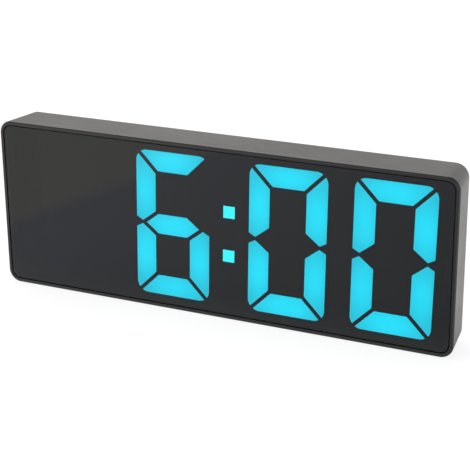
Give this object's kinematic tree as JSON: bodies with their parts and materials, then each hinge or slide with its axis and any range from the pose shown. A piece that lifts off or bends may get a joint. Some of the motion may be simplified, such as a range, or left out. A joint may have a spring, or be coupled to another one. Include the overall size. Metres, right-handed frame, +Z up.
{
  "type": "digital led desk clock",
  "caption": "Slim bar-shaped desk clock with a smoked full-face lens over large seven-segment digits, a rear battery box with sliding door, back buttons and a fold-out prop.",
  "frame": {"origin": "middle of the base face, half way through the depth of the case frame", "axes": "+X along the face to the right as it is read, -Y out of the face, +Z up"},
  "size_m": [0.1598, 0.0222, 0.0575],
  "materials": {
    "case_plastic": "satin moulded charcoal plastic",
    "cover_plastic": "fine matt texture",
    "bail_plastic": "satin",
    "button_rubber": "matt rubber",
    "smoked_lens": "polished smoked acrylic",
    "foam_tape": "black foam tape",
    "mask_film": "black printed film",
    "lit_diffuser": "milky insert, lit from behind",
    "unlit_diffuser": "dark tinted insert, off",
    "reflector_white": "white moulded",
    "led_resin": "clear resin over phosphor",
    "board_laminate": "solder mask",
    "chip_black": "moulded black",
    "plunger_plastic": "moulded",
    "plated_steel": "nickel plated",
    "capacitor_can": "drawn can",
    "cell_jacket": "plain printed jacket over steel",
    "red_wire": "soft wire insulation",
    "black_wire": "soft wire insulation"
  },
  "bodies": {
    "case": {"case_frame": "case_plastic", "rear_cover": "cover_plastic", "display_lens": "smoked_lens", "lens_tape": "foam_tape", "segment_mask": "mask_film", "lit_segments": "lit_diffuser", "unlit_segments": "unlit_diffuser", "reflector_block": "reflector_white", "segment_leds": "led_resin", "main_board": "board_laminate", "control_chip": "chip_black", "led_driver": "chip_black", "buzzer": "chip_black", "switch_bodies": "chip_black", "usb_tongue": "chip_black", "board_screws": "plated_steel", "cover_screws": "plated_steel", "usb_shell": "plated_steel", "quartz_crystal": "plated_steel", "negative_contact": "plated_steel", "positive_contact": "plated_steel", "link_contact_left": "plated_steel", "link_contact_right": "plated_steel", "supply_capacitor": "capacitor_can", "battery_cell_1": "cell_jacket", "battery_cell_2": "cell_jacket", "battery_cell_3": "cell_jacket", "positive_lead": "red_wire", "negative_lead": "black_wire"},
    "set_key": {"set_button": "button_rubber", "set_plunger": "plunger_plastic"},
    "up_key": {"up_button": "button_rubber", "up_plunger": "plunger_plastic"},
    "down_key": {"down_button": "button_rubber", "down_plunger": "plunger_plastic"},
    "door": {"battery_door": "cover_plastic"},
    "bail": {"bail_stand": "bail_plastic"}
  },
  "joints": [
    {"name": "set_press", "type": "slide", "parent": "case", "child": "set_key", "axis": [0, -1, 0], "range_m": [0, 0.0005], "stiffness_N_per_m": 400},
    {"name": "up_press", "type": "slide", "parent": "case", "child": "up_key", "axis": [0, -1, 0], "range_m": [0, 0.0005], "stiffness_N_per_m": 400},
    {"name": "down_press", "type": "slide", "parent": "case", "child": "down_key", "axis": [0, -1, 0], "range_m": [0, 0.0005], "stiffness_N_per_m": 400},
    {"name": "door_slide", "type": "slide", "parent": "case", "child": "door", "axis": [0, 0, 1], "range_m": [0, 0.035]},
    {"name": "bail_swing", "type": "hinge", "parent": "case", "child": "bail", "pos_m": [0, 0.0093, 0.03775], "axis": [1, 0, 0], "range_deg": [0, 35]}
  ]
}
